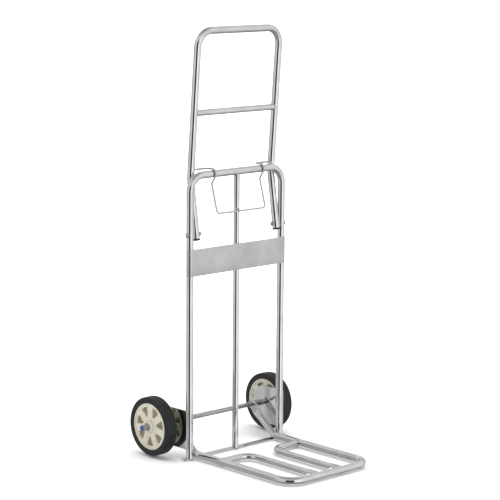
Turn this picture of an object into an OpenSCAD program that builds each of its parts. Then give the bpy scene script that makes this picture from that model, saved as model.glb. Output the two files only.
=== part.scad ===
// Folding hand truck: a bent steel tube frame on two wheels, with a fold-down
// U-shaped handle held by a wire latch, and a tubular toe plate hinged on the axle.
// The load side faces -Y, +Z is up, and the floor under the frame is Z = 0.

/* [Frame] */
// Width between the centre lines of the two frame legs
frame_w = 316; // [300:1:330]
// Height of the centre line of the frame's top bar
frame_h = 729; // [720:1:740]
// Outside diameter of the frame and handle tubes
tube_d = 19; // [18:0.5:19]
// Wall thickness of every tube
wall_t = 1.2; // [1:0.1:1.5]
// Centre-line radius of the large tube bends
bend_r = 42; // [36:1:46]
// Outside diameter of the centre tube, the handle's crossbar and the toe rails
thin_d = 16; // [14:0.5:16]

/* [Foot strip and back plate] */
// Overall length of the flat foot strip
strip_len = 354; // [345:1:360]
// Depth of the foot strip, front to back
strip_depth = 22; // [20:1:26]
// Thickness of the foot strip
strip_t = 4; // [3:0.5:4]
// Height of the back plate's lower edge
plate_z = 476; // [440:1:478]
// Height of the back plate itself
plate_h = 69; // [55:1:69]
// Sheet thickness of the back plate
plate_t = 1.2; // [1:0.1:1.5]

/* [Handle] */
// Height of the pivot bolts
pivot_z = 581; // [578:1:582]
// Height of the bend where the handle legs turn upright
kink_z = 717; // [714:1:719]
// How far behind the frame that bend lies
kink_y = 20.6; // [20.6:0.1:22]
// Height of the centre line of the grip bar
grip_z = 1088; // [1070:1:1090]
// How far in front of the frame the grip bar leans
grip_lean = 7.5; // [4:0.5:9]
// Height of the crossbar
crossbar_z = 884; // [870:1:920]

/* [Latch] */
// Diameter of the latch wire
wire_d = 5; // [4.5:0.1:5]
// Width between the two sides of the wire loop
latch_w = 166; // [140:1:180]
// Height of the bottom of the wire loop
latch_low_z = 630; // [628:1:650]

/* [Axle and wheels] */
// How far the axle lies behind the frame
axle_y = 88; // [84:1:90]
// Height of the axle
axle_z = 81; // [80:1:84]
// Diameter of the axle rod
axle_d = 12; // [10:0.5:12]
// Outside diameter of the tyres
wheel_d = 152; // [148:1:152]
// Width of the tyres
tyre_w = 31; // [28:1:31]
// Distance from the middle of the truck to the inner side of a tyre
tyre_in = 188; // [188:1:190]
// Outside diameter of the moulded hub
hub_d = 122; // [118:1:124]
// Number of spokes in a hub
spokes = 7; // [5:1:8]
// Thickness of the axle bracket plates
bracket_t = 3; // [2:0.5:3]

/* [Toe plate] */
// Distance from the frame to the centre line of the toe plate's front bar
toe_len = 350; // [320:1:352]
// Outside diameter of the toe plate's outer tube
toe_d = 18; // [17:0.5:18]
// Distance of each inner rail from the middle
rail_x = 40; // [34:1:46]
// Distance from the frame to the rails' rear bend
rail_back = 95; // [90:1:110]

/* [Hidden] */
$fn = 64;
fit = 0.05;
side_gap = 0.5;
overlap = 1;

leg_x = frame_w / 2;
handle_x = leg_x - tube_d - side_gap;
tube_r = tube_d / 2;
thin_r = thin_d / 2;

// handle
lower_lean = atan(kink_y / (kink_z - pivot_z));
upper_lean = atan((kink_y + grip_lean) / (grip_z - kink_z));
kink_r = 80;
tail = 13;
plug_out = 4;
crossbar_y = kink_y - (crossbar_z - kink_z) * tan(upper_lean);

// pivot bolts and nuts
bolt_d = 6;
bolt_head_d = 13;
bolt_head_h = 3.4;
nut_af = 10;
nut_t = 4.5;

// latch
hook_r = tube_r + wire_d / 2 + 0.45;
latch_z = frame_h + hook_r;
latch_y = kink_y - (latch_z - kink_z) * tan(upper_lean);
latch_x = latch_w / 2;
arm_r = 6;
under_y = 3;
latch_end = 5;
loop_r = 9;

// axle, brackets and wheels
strip_y = 6;
bracket_x = leg_x + tube_r;
bracket_out = bracket_x + bracket_t;
bracket_front = -3;
bracket_back = axle_y + 22;
bracket_top = 131;
bracket_low = 30;
bracket_cut_y = 30;
bracket_cut_z = 24;
hub_w = 31;
hub_face = tyre_in + tyre_w - 1;
boss_d = 30;
bush_d = 18;
bush_flange_d = 24;
bush_flange_t = 1.5;
boss_out = 4;
spoke_face = 2;
rim_t = 5;
lip_step = 1.5;
rib_half = 9;
pocket_in = 26;
pocket_out = 51;
pocket_depth = 9;
axle_end = 241;
cap_d = 15;
cap_len = 17;
insert_d = 12.5;

// toe plate
toe_r = toe_d / 2;
toe_x = leg_x - tube_r - toe_r - side_gap;
toe_z = strip_t + toe_r + 0.4;
toe_corner_r = 45;
strut_bend_r = 32;
eye_d = 25;
eye_t = 5;
eye_x = toe_x + 3.5;
strut_slope = atan(3 / 4);
toe_back_y = axle_y - (axle_z - toe_z) / tan(strut_slope);
strut_cut = strut_bend_r * tan(strut_slope / 2);
rail_z = toe_z - toe_r + thin_r;
rail_bend_r = 34;
tongue_len = 26;
tongue_t = 5.5;
tongue_w = 21;

chrome = "silver";
steel = "lightgrey";
satin = "gainsboro";

// ---------- shared shapes ----------

// Bent round bar. It starts at the origin along +Z. Each step is [straight length,
// bend radius, bend angle, turn of the bend's plane]. A step of length 0 ends the bar.
module bent_bar(steps, d, i = 0) {
    s = steps[i];
    if (s[0] > 0) cylinder(d = d, h = s[0]);
    if (i < len(steps) - 1)
        translate([0, 0, s[0]]) rotate([0, 0, s[3]]) translate([s[1], 0, 0]) {
            rotate([90, 0, 180]) rotate_extrude(angle = s[2]) translate([s[1], 0]) circle(d = d);
            rotate([0, s[2], 0]) translate([-s[1], 0, 0]) bent_bar(steps, d, i + 1);
        }
}

// The same bar as a tube with both ends open
module bent_tube(steps, d) {
    last = len(steps) - 1;
    longer = [for (i = [0:last]) let (at_end = (i == 0 || i == last) && steps[i][0] > 0)
        [steps[i][0] + (at_end ? overlap : 0), steps[i][1], steps[i][2], steps[i][3]]];
    difference() {
        bent_bar(steps, d);
        translate([0, 0, -overlap]) bent_bar(longer, d - 2 * wall_t);
    }
}

// Round bar lying along X, from x0 to x1
module cross_pin(x0, x1, y, z, d) {
    translate([x0, y, z]) rotate([0, 90, 0]) cylinder(d = d, h = x1 - x0);
}

// Children once on each side of the truck
module both_sides() {
    children();
    mirror([1, 0, 0]) children();
}

// ---------- frame ----------

module main_frame_tube() {
    color(chrome) difference() {
        translate([-leg_x, 0, strip_t]) bent_tube([
            [frame_h - bend_r - strip_t, bend_r, 90, 0],
            [frame_w - 2 * bend_r, bend_r, 90, 0],
            [frame_h - bend_r - strip_t, 0, 0, 0]
        ], tube_d);
        for (side = [-1, 1])
            cross_pin(side * leg_x - tube_d, side * leg_x + tube_d, 0, pivot_z, bolt_d);
    }
}

module centre_tube() {
    color(chrome) difference() {
        translate([0, 0, strip_t]) bent_tube([[frame_h - strip_t, 0, 0, 0]], thin_d);
        cross_pin(-tube_d, tube_d, 0, frame_h, tube_d);
    }
}

module foot_strip() {
    half = strip_len / 2 - strip_depth / 2;
    color(chrome) translate([0, strip_y, 0]) {
        translate([-half, -strip_depth / 2, 0]) cube([2 * half, strip_depth, strip_t]);
        both_sides() translate([half, 0, 0]) intersection() {
            cylinder(d = strip_depth, h = strip_t);
            translate([0, -strip_depth, 0]) cube([strip_depth, 2 * strip_depth, strip_t]);
        }
    }
}

// The sheet lies across the fronts of the legs and its ends wrap round their outer sides
module back_plate() {
    inner = tube_r;
    outer = tube_r + plate_t;
    color(satin) translate([0, 0, plate_z]) {
        translate([-leg_x, -outer, 0]) cube([2 * leg_x, plate_t, plate_h]);
        both_sides() translate([leg_x, 0, 0]) difference() {
            intersection() {
                cylinder(r = outer, h = plate_h);
                translate([0, -tube_d, 0]) cube([tube_d, tube_d + 2, plate_h]);
            }
            translate([0, 0, -overlap]) cylinder(r = inner, h = plate_h + 2 * overlap);
        }
    }
}

module bracket(side) {
    x = side > 0 ? bracket_x : -bracket_out;
    color(chrome) difference() {
        translate([x, 0, 0]) rotate([90, 0, 90]) linear_extrude(bracket_t) polygon([
            [bracket_front, bracket_low],
            [bracket_back - bracket_cut_y, bracket_low],
            [bracket_back, bracket_low + bracket_cut_z],
            [bracket_back, bracket_top - bracket_cut_z],
            [bracket_back - bracket_cut_y, bracket_top],
            [bracket_front, bracket_top]
        ]);
        cross_pin(x - overlap, x + bracket_t + overlap, axle_y, axle_z, axle_d);
    }
}

module bracket_left() bracket(-1);
module bracket_right() bracket(1);

module axle_rod() {
    color(steel) cross_pin(-axle_end, axle_end, axle_y, axle_z, axle_d);
}

// Short tubes that keep the toe plate's eyes off the brackets
module strut_spacers() {
    x0 = eye_x + eye_t / 2 + side_gap;
    color(steel) both_sides() difference() {
        cross_pin(x0, bracket_x, axle_y, axle_z, axle_d + 5);
        cross_pin(x0 - overlap, bracket_x + overlap, axle_y, axle_z, axle_d);
    }
}

// Washers and sleeve between each bracket and its wheel
module wheel_spacers() {
    x1 = hub_face - hub_w - bush_flange_t - side_gap;
    color(steel) both_sides() difference() {
        union() {
            cross_pin(bracket_out, x1, axle_y, axle_z, axle_d + 5);
            cross_pin(x1 - 2, x1, axle_y, axle_z, axle_d + 12);
        }
        cross_pin(bracket_out - overlap, x1 + overlap, axle_y, axle_z, axle_d);
    }
}

// Push-on caps that hold the wheels on the axle
module axle_caps() {
    x0 = axle_end + overlap - cap_len;
    x1 = axle_end + overlap;
    color(chrome) both_sides() difference() {
        union() {
            cross_pin(x0, x1, axle_y, axle_z, cap_d);
            cross_pin(x0, x0 + 1.5, axle_y, axle_z, cap_d + 6);
        }
        cross_pin(x0 - overlap, axle_end, axle_y, axle_z, axle_d);
        cross_pin(axle_end - overlap, x1 + overlap, axle_y, axle_z, insert_d - 1.5);
    }
}

module cap_inserts() {
    color("royalblue") both_sides() {
        cross_pin(axle_end, axle_end + overlap, axle_y, axle_z, insert_d - 1.5);
        cross_pin(axle_end + overlap, axle_end + overlap + 1.5, axle_y, axle_z, insert_d);
    }
}

// Domed bolts through the frame legs: the handle turns on them
module pivot_bolts() {
    head_x = leg_x + tube_r;
    shank = head_x - (handle_x - tube_r - side_gap - nut_t - 2);
    dome_r = (pow(bolt_head_d / 2, 2) + pow(bolt_head_h, 2)) / (2 * bolt_head_h);
    color(steel) both_sides() translate([head_x, 0, pivot_z]) rotate([0, 90, 0])
        rotate_extrude() {
            translate([0, -shank]) square([bolt_d / 2, shank + overlap]);
            intersection() {
                translate([0, bolt_head_h - dome_r]) circle(r = dome_r);
                square([bolt_head_d / 2, bolt_head_h]);
            }
        }
}

module pivot_nuts() {
    x1 = handle_x - tube_r - side_gap;
    color(steel) both_sides() difference() {
        translate([x1 - nut_t, 0, pivot_z]) rotate([0, 90, 0])
            cylinder(d = nut_af / cos(30), h = nut_t, $fn = 6);
        cross_pin(x1 - nut_t - overlap, x1 + overlap, 0, pivot_z, bolt_d);
    }
}

// ---------- handle ----------

// Children stand on the foot of the left handle leg, with Z up along the leg
module at_leg_foot() {
    translate([-handle_x, 0, pivot_z]) rotate([-lower_lean, 0, 0]) translate([0, 0, -tail])
        children();
}

module handle_tube() {
    kink_turn = lower_lean + upper_lean;
    kink_cut = kink_r * tan(kink_turn / 2);
    lower = tail + norm([kink_y, kink_z - pivot_z]) - kink_cut;
    upper = norm([kink_y + grip_lean, grip_z - kink_z]) - kink_cut - bend_r;
    color(chrome) difference() {
        at_leg_foot() bent_tube([
            [lower, kink_r, kink_turn, -90],
            [upper, bend_r, 90, 90],
            [2 * (handle_x - bend_r), bend_r, 90, 0],
            [upper, kink_r, kink_turn, -90],
            [lower, 0, 0, 0]
        ], tube_d);
        both_sides() {
            cross_pin(handle_x - tube_d, handle_x + tube_d, 0, pivot_z, bolt_d + 2 * fit);
            cross_pin(handle_x - tube_d, handle_x, latch_y, latch_z, wire_d + 2 * fit);
        }
    }
}

module handle_crossbar() {
    color(chrome) difference() {
        translate([-handle_x, crossbar_y, crossbar_z]) rotate([0, 90, 0])
            bent_tube([[2 * handle_x, 0, 0, 0]], thin_d);
        both_sides() translate([handle_x, crossbar_y, crossbar_z]) rotate([upper_lean, 0, 0])
            translate([0, 0, -tube_d]) cylinder(d = tube_d, h = 2 * tube_d);
    }
}

// Plastic plugs in the lower ends of the handle legs
module handle_plugs() {
    color("black") both_sides() at_leg_foot() {
        cylinder(d = tube_d - 2 * wall_t, h = 8);
        translate([0, 0, -plug_out]) cylinder(d = tube_d, h = plug_out);
    }
}

// ---------- latch ----------

// One bent wire: its ends turn in the handle legs, it hooks over the frame's top bar,
// runs back under the bar and hangs as a loop in front of the centre tube. Its slopes
// are those of 3-4-5 triangles.
module latch_wire() {
    hook_turn = 90 + atan(3 / 4);
    loop_turn = atan(4 / 3);
    loop_lean = loop_turn + 90 - hook_turn;
    to_under = (under_y + hook_r * sin(hook_turn)) / -cos(hook_turn);
    under_z = frame_h + hook_r * cos(hook_turn) - to_under * sin(hook_turn);
    loop_cut = loop_r * tan(loop_turn / 2);
    end_x = handle_x - tube_r + latch_end;
    arm = end_x - latch_x - arm_r;
    over = latch_y - arm_r;
    back = to_under - loop_cut;
    drop = (under_z - latch_low_z) / cos(loop_lean) - loop_cut - loop_r;
    color(steel) translate([-end_x, latch_y, latch_z]) rotate([0, 90, 0]) bent_bar([
        [arm, arm_r, 90, -90],
        [over, hook_r, hook_turn, 90],
        [back, loop_r, loop_turn, 180],
        [drop, loop_r, 90, -90],
        [2 * (latch_x - loop_r), loop_r, 90, 0],
        [drop, loop_r, loop_turn, 90],
        [back, hook_r, hook_turn, 180],
        [over, arm_r, 90, -90],
        [arm, 0, 0, 0]
    ], wire_d);
}

// ---------- toe plate ----------

// The U of the toe plate, lying flat
module toe_tube() {
    side_len = toe_len + toe_back_y - strut_cut - toe_corner_r;
    color(chrome) translate([-toe_x, toe_back_y - strut_cut, toe_z]) rotate([90, 0, 0])
        rotate([0, 0, 90]) bent_tube([
            [side_len, toe_corner_r, 90, -90],
            [2 * (toe_x - toe_corner_r), toe_corner_r, 90, 0],
            [side_len, 0, 0, 0]
        ], toe_d);
}

// The end of the same tube: it bends up behind the leg and is flattened round the axle
module toe_strut() {
    strut_len = norm([axle_y - toe_back_y, axle_z - toe_z]) - eye_d - strut_cut;
    color(chrome) difference() {
        union() {
            translate([toe_x, axle_y, axle_z]) rotate([90 + strut_slope, 0, 0])
                translate([0, 0, eye_d]) bent_tube([
                    [strut_len, strut_bend_r, strut_slope, 90],
                    [0, 0, 0, 0]
                ], toe_d);
            eye_plate();
        }
        cross_pin(eye_x - eye_t, eye_x + eye_t, axle_y, axle_z, axle_d + 2 * fit);
    }
}

module toe_strut_left() mirror([1, 0, 0]) toe_strut();
module toe_strut_right() toe_strut();

// Flattened strut end: a slab with a round eye about the axle
module eye_plate() {
    translate([eye_x - eye_t / 2, axle_y, axle_z]) {
        rotate([0, 90, 0]) cylinder(d = eye_d, h = eye_t);
        rotate([strut_slope, 0, 0]) translate([0, -eye_d - 4, -toe_r + 0.5])
            cube([eye_t, eye_d + 1, toe_d - 1]);
    }
}

// Inner rail: it leaves the side tube at right angles, turns forward and ends in a
// flattened tongue that is welded to the front bar
module toe_rail() {
    tongue_y = -toe_len + toe_r + tongue_len;
    color(chrome) {
        difference() {
            translate([toe_x, -rail_back, rail_z]) rotate([0, -90, 0]) bent_tube([
                [toe_x - rail_x - rail_bend_r, rail_bend_r, 90, -90],
                [-tongue_y - rail_back - rail_bend_r, 0, 0, 0]
            ], thin_d);
            translate([toe_x, 0, toe_z]) rotate([90, 0, 0]) cylinder(d = toe_d, h = toe_len);
        }
        difference() {
            translate([rail_x - tongue_w / 2, -toe_len, rail_z + thin_r - tongue_t - 1.5])
                cube([tongue_w, toe_r + tongue_len + 6, tongue_t]);
            cross_pin(-toe_x, toe_x, -toe_len, toe_z, toe_d);
        }
    }
}

module toe_rail_left() mirror([1, 0, 0]) toe_rail();
module toe_rail_right() toe_rail();

// ---------- wheels ----------

// Children stand on Z with the wheel's outer face up; this puts them on the axle
module on_axle(side) {
    translate([side * hub_face, axle_y, axle_z]) rotate([0, side * 90, 0]) children();
}

// A ring along Z from z0 to z1
module ring(r_in, r_out, z0, z1) {
    translate([0, 0, z0]) difference() {
        cylinder(r = r_out, h = z1 - z0);
        translate([0, 0, -overlap]) cylinder(r = r_in, h = z1 - z0 + 2 * overlap);
    }
}

// Outline of the pocket between two spokes: a wedge
module pocket() {
    half = 180 / spokes;
    tip = rib_half / sin(half);
    intersection() {
        difference() {
            circle(r = pocket_out);
            circle(r = pocket_in);
        }
        polygon([
            [tip, 0],
            [tip + hub_d * cos(half), hub_d * sin(half)],
            [tip + hub_d * cos(half), -hub_d * sin(half)]
        ]);
    }
}

// Moulded hub: a spoked web inside a raised rim, with a boss that stands proud of it
module hub(side) {
    hub_r = hub_d / 2;
    rim_in = hub_r - rim_t - overlap;
    web_low = 2 * spoke_face - hub_w;
    color("beige") on_axle(side) difference() {
        union() {
            ring(bush_d / 2, hub_r - rim_t, web_low, -spoke_face);
            ring(rim_in, hub_r, spoke_face - hub_w, -lip_step);
            ring(rim_in, hub_r - lip_step, -lip_step - overlap, 0);
            ring(bush_d / 2, boss_d / 2, -hub_w, boss_out);
        }
        for (i = [0:spokes - 1])
            rotate([0, 0, i * 360 / spokes + 90 - side * 90])
                for (floor_z = [-spoke_face - pocket_depth, web_low - overlap])
                    translate([0, 0, floor_z]) linear_extrude(pocket_depth + overlap) pocket();
    }
}

// Solid tyre with round shoulders and two fine tread grooves
module tyre(side) {
    shoulder = 5;
    groove_r = 0.8;
    half = tyre_w / 2;
    wheel_r = wheel_d / 2;
    middle = tyre_in + half - hub_face;
    color("dimgrey") on_axle(side) translate([0, 0, middle]) rotate_extrude() difference() {
        union() {
            translate([hub_d / 2, -half]) square([wheel_r - shoulder - hub_d / 2, tyre_w]);
            translate([hub_d / 2, shoulder - half])
                square([wheel_r - hub_d / 2, tyre_w - 2 * shoulder]);
            for (end = [-1, 1])
                translate([wheel_r - shoulder, end * (half - shoulder)]) circle(r = shoulder);
        }
        for (end = [-1, 1])
            translate([wheel_r, end * half / 3]) circle(r = groove_r);
    }
}

// Flanged bush pressed into each hub, running on the axle
module bush(side) {
    bore = axle_d / 2 + fit;
    color("ivory") on_axle(side) {
        ring(bore, bush_d / 2, -hub_w, boss_out);
        ring(bore, bush_flange_d / 2, -hub_w - bush_flange_t, -hub_w);
        ring(bore, bush_flange_d / 2, boss_out, boss_out + bush_flange_t);
    }
}

module hub_left() hub(-1);
module hub_right() hub(1);
module tyre_left() tyre(-1);
module tyre_right() tyre(1);
module bush_left() bush(-1);
module bush_right() bush(1);

main_frame_tube();
centre_tube();
foot_strip();
back_plate();
bracket_left();
bracket_right();
axle_rod();
strut_spacers();
wheel_spacers();
axle_caps();
cap_inserts();
pivot_bolts();
pivot_nuts();
handle_tube();
handle_crossbar();
handle_plugs();
latch_wire();
toe_tube();
toe_strut_left();
toe_strut_right();
toe_rail_left();
toe_rail_right();
hub_left();
tyre_left();
bush_left();
hub_right();
tyre_right();
bush_right();
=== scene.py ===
"""A folding hand truck: chromed tube frame and handle, wire latch, tubular toe plate, two moulded wheels."""
import math
import bmesh
import bpy
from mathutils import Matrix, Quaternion, Vector


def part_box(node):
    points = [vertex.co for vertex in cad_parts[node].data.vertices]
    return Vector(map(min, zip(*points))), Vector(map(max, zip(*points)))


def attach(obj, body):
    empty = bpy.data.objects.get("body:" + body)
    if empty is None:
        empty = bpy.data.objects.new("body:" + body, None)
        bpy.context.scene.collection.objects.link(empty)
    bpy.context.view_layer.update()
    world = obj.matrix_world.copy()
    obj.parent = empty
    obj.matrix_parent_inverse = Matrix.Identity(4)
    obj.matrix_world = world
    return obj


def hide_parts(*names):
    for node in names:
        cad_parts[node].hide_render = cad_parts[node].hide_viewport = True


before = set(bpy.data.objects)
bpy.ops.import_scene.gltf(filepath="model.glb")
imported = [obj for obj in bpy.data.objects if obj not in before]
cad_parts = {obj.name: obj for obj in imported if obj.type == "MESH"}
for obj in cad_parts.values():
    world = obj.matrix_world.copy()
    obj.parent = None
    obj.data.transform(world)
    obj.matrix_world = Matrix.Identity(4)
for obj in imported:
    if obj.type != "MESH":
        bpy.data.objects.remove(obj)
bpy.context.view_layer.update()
MM = 0.001

# --- Camera ---------------------------------------------------------------------------------
# A long lens a little above the handle's middle, at the load side's left corner, so the
# truck shows its front, its left wheel and the top of its toe plate.
CAMERA_AZIMUTH = math.radians(-42.81)
CAMERA_ELEVATION = math.radians(9.94)
CAMERA_ROLL = math.radians(0.37)
CAMERA_DISTANCE = 5.0
CAMERA_AIM = Vector((0, 0, 0.5))
CAMERA_LENS = 140.7
CAMERA_SHIFT = (0.0275, 0.0199)

camera = bpy.data.objects.new("camera", bpy.data.cameras.new("camera"))
bpy.context.scene.collection.objects.link(camera)
to_camera = Vector((math.sin(CAMERA_AZIMUTH) * math.cos(CAMERA_ELEVATION),
                    -math.cos(CAMERA_AZIMUTH) * math.cos(CAMERA_ELEVATION),
                    math.sin(CAMERA_ELEVATION)))
camera.location = CAMERA_AIM + to_camera * CAMERA_DISTANCE
camera.rotation_mode = "QUATERNION"
camera.rotation_quaternion = ((-to_camera).to_track_quat("-Z", "Y")
                              @ Quaternion((0, 0, 1), CAMERA_ROLL))
camera.data.lens = CAMERA_LENS
camera.data.shift_x, camera.data.shift_y = CAMERA_SHIFT
bpy.context.scene.camera = camera

# --- Studio ---------------------------------------------------------------------------------
# A white room. Only mirror reflections see its dark gap behind the camera and its bright panel,
# which the chrome shows as a dark line and a highlight. The floor is a pale sheet that they
# don't see, so that upright tubes keep those lines.
FLOOR_HALF = 30.0
FLOOR_FADE = (0.5, 2.2)
ROOM_BANDS = [(-180, 0.80), (-166, 0.78), (-160, 0.03), (-121, 0.03), (-113, 1.20), (-86, 1.20),
              (-70, 0.90), (-30, 0.84), (20, 0.55), (100, 0.62), (126, 0.62), (131, 0.42),
              (135, 0.42), (140, 0.70), (180, 0.80)]
CEILING = [(0.55, 0.92), (0.95, 0.40)]
BELOW = 0.30


def linear(hex_colour):
    """An sRGB hex colour as linear red, green, blue and alpha."""
    parts = [int(hex_colour[i:i + 2], 16) / 255 for i in (0, 2, 4)]
    return (*[c / 12.92 if c <= 0.04045 else ((c + 0.055) / 1.055) ** 2.4 for c in parts], 1)


def add(tree, kind, inputs=None, **settings):
    """Adds one node. A value in inputs sets a socket, and a socket in inputs is linked to it."""
    node = tree.nodes.new(kind)
    for name, value in settings.items():
        setattr(node, name, value)
    for key, value in (inputs or {}).items():
        socket = node.inputs[key]
        if isinstance(value, bpy.types.NodeSocket):
            tree.links.new(value, socket)
        else:
            socket.default_value = value
    return node


def ramp(tree, factor, stops):
    """A colour ramp from a list of (place, colour) stops."""
    node = add(tree, "ShaderNodeValToRGB", {"Fac": factor})
    elements = node.color_ramp.elements
    elements[0].position, elements[0].color = stops[0]
    elements[-1].position, elements[-1].color = stops[-1]
    for place, colour in stops[1:-1]:
        elements.new(place).color = colour
    return node


def grey(level):
    """A neutral colour of that linear level."""
    return (level, level, level, 1)


scene = bpy.context.scene
scene.view_settings.view_transform = "Standard"
room = bpy.data.worlds.new("white_room")
room.use_nodes = True
room.node_tree.nodes.clear()
sky = room.node_tree
direction = add(sky, "ShaderNodeSeparateXYZ", {0: add(sky, "ShaderNodeTexCoord").outputs["Generated"]})
turn = add(sky, "ShaderNodeMath", {0: direction.outputs["Y"], 1: direction.outputs["X"]}, operation="ARCTAN2")
place = add(sky, "ShaderNodeMapRange", {"Value": turn.outputs[0], "From Min": -math.pi, "From Max": math.pi})
bands = ramp(sky, place.outputs[0], [((angle + 180) / 360, grey(level)) for angle, level in ROOM_BANDS])
ceiling = ramp(sky, direction.outputs["Z"], [(z, grey(level)) for z, level in CEILING])
rise = add(sky, "ShaderNodeMapRange", {"Value": direction.outputs["Z"], "From Min": 0.30, "From Max": 0.60})
fall = add(sky, "ShaderNodeMapRange", {"Value": direction.outputs["Z"], "From Min": -0.35, "From Max": -0.80})
upper = add(sky, "ShaderNodeMix", {"Factor": rise.outputs[0], "A": bands.outputs["Color"],
                                   "B": ceiling.outputs["Color"]}, data_type="RGBA")
walls = add(sky, "ShaderNodeMix", {"Factor": fall.outputs[0], "A": upper.outputs["Result"],
                                   "B": grey(BELOW)}, data_type="RGBA")
seen = add(sky, "ShaderNodeMix", {"Factor": add(sky, "ShaderNodeLightPath").outputs["Is Glossy Ray"],
                                  "A": grey(1.0), "B": walls.outputs["Result"]}, data_type="RGBA")
glow = add(sky, "ShaderNodeBackground", {"Color": seen.outputs["Result"], "Strength": 1.0})
add(sky, "ShaderNodeOutputWorld", {"Surface": glow.outputs[0]})
scene.world = room


def material(name, colour, roughness, metallic=0.0):
    """A material with one Principled shader, and its node tree and shader."""
    made = bpy.data.materials.new(name)
    made.use_nodes = True
    tree = made.node_tree
    tree.nodes.clear()
    shader = add(tree, "ShaderNodeBsdfPrincipled",
                 {"Base Color": linear(colour), "Roughness": roughness, "Metallic": metallic})
    add(tree, "ShaderNodeOutputMaterial", {"Surface": shader.outputs[0]})
    return made, tree, shader


floor_paper, tree, shader = material("floor_paper", "F6F6F6", 0.9)
spot = add(tree, "ShaderNodeTexCoord").outputs["Object"]
away = add(tree, "ShaderNodeVectorMath", {0: spot}, operation="LENGTH")
lit = add(tree, "ShaderNodeMapRange", {"Value": away.outputs["Value"], "From Min": FLOOR_FADE[0],
                                       "From Max": FLOOR_FADE[1]}, interpolation_type="SMOOTHSTEP")
shader.inputs["Emission Color"].default_value = grey(1.0)
tree.links.new(lit.outputs[0], shader.inputs["Emission Strength"])
floor_mesh = bpy.data.meshes.new("floor")
floor_mesh.from_pydata([(-FLOOR_HALF, -FLOOR_HALF, 0), (FLOOR_HALF, -FLOOR_HALF, 0),
                        (FLOOR_HALF, FLOOR_HALF, 0), (-FLOOR_HALF, FLOOR_HALF, 0)], [], [(0, 1, 2, 3)])
floor_mesh.materials.append(floor_paper)
floor = bpy.data.objects.new("floor", floor_mesh)
floor.visible_glossy = False
scene.collection.objects.link(floor)


def soft_light(name, place, aim, size, power):
    """A square area light that faces aim."""
    lamp = bpy.data.lights.new(name, "AREA")
    lamp.size, lamp.energy = size, power
    holder = bpy.data.objects.new(name, lamp)
    holder.visible_glossy = False
    holder.location = place
    holder.rotation_mode = "QUATERNION"
    holder.rotation_quaternion = (Vector(aim) - Vector(place)).to_track_quat("-Z", "Y")
    scene.collection.objects.link(holder)


soft_light("overhead_light", (0, 0, 4.2), (0, 0, 0), 4.0, 90)
soft_light("right_light", (2.6, -3.4, 2.2), (0, 0, 0.4), 1.4, 30)

# --- Frame tube -----------------------------------------------------------------------------
# One length of drawn steel tube bent to an inverted U, ground, polished and bright chromed.
# The handle folds on two bolts through its legs, and its feet are welded to the foot strip.
TUBE_R = 9.5 * MM
BEND_R = 42 * MM
ARC_STEP = math.radians(4)
frame_low, frame_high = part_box("main_frame_tube")
LEG_X = frame_high.x - TUBE_R
TOP_Z = frame_high.z - TUBE_R
STRIP_T = frame_low.z


def rounded(corners, radii, closed=False):
    """The corners' path with an arc of the given radius at each, as a list of points."""
    count = len(corners)
    corners = [Vector(c) for c in corners]
    radii = radii if isinstance(radii, (list, tuple)) else [radii] * count
    points = []
    for i, corner in enumerate(corners):
        if not closed and i in (0, count - 1) or radii[i] == 0:
            points.append(corner)
            continue
        before = (corners[i - 1] - corner).normalized()
        after = (corners[(i + 1) % count] - corner).normalized()
        half = before.angle(after) / 2
        centre = corner + (before + after).normalized() * radii[i] / math.sin(half)
        start = corner + before * radii[i] / math.tan(half) - centre
        axis = start.cross(corner + after * radii[i] / math.tan(half) - centre).normalized()
        sweep = math.pi - 2 * half
        steps = max(2, math.ceil(sweep / ARC_STEP))
        points += [centre + Quaternion(axis, sweep * k / steps) @ start for k in range(steps + 1)]
    return points


def socket_id(tree, name):
    """The identifier of a node group's named input."""
    return next(s.identifier for s in tree.interface.items_tree
                if s.name == name and s.in_out == "INPUT")


def new_group(name, *sizes):
    """A Geometry Nodes group with a geometry and a material input, and one input for each named size."""
    tree = bpy.data.node_groups.new(name, "GeometryNodeTree")
    tree.interface.new_socket("Path", in_out="INPUT", socket_type="NodeSocketGeometry")
    for size in sizes:
        kind = "NodeSocketInt" if size in ("Sides", "Count") else "NodeSocketFloat"
        tree.interface.new_socket(size, in_out="INPUT", socket_type=kind)
    tree.interface.new_socket("Finish", in_out="INPUT", socket_type="NodeSocketMaterial")
    tree.interface.new_socket("Geometry", in_out="OUTPUT", socket_type="NodeSocketGeometry")
    return tree, tree.nodes.new("NodeGroupInput")


def close_group(tree, given, geometry):
    """Ends a group: smooth faces, real geometry, and the given material."""
    smooth = add(tree, "GeometryNodeSetShadeSmooth", {0: geometry})
    real = add(tree, "GeometryNodeRealizeInstances", {"Geometry": smooth.outputs[0]})
    finish = add(tree, "GeometryNodeSetMaterial",
                 {"Geometry": real.outputs[0], "Material": given.outputs["Finish"]})
    add(tree, "NodeGroupOutput", {"Geometry": finish.outputs[0]})


bar_tree, given = new_group("drawn_bar", "Radius", "Sides")
bar_path = add(bar_tree, "GeometryNodeMeshToCurve", {"Mesh": given.outputs["Path"]})
bar_section = add(bar_tree, "GeometryNodeCurvePrimitiveCircle",
                  {"Resolution": given.outputs["Sides"], "Radius": given.outputs["Radius"]})
bar_sweep = add(bar_tree, "GeometryNodeCurveToMesh",
                {"Curve": bar_path.outputs[0], "Profile Curve": bar_section.outputs[0], "Fill Caps": True})
close_group(bar_tree, given, bar_sweep.outputs[0])


def finished(mesh, name, sharp=35):
    """An object at the origin for a finished mesh, smooth except at edges sharper than that."""
    mesh.name = name
    mesh.shade_smooth()
    mesh.set_sharp_from_angle(angle=math.radians(sharp))
    made = bpy.data.objects.new(name, mesh)
    scene.collection.objects.link(made)
    return made


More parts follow.
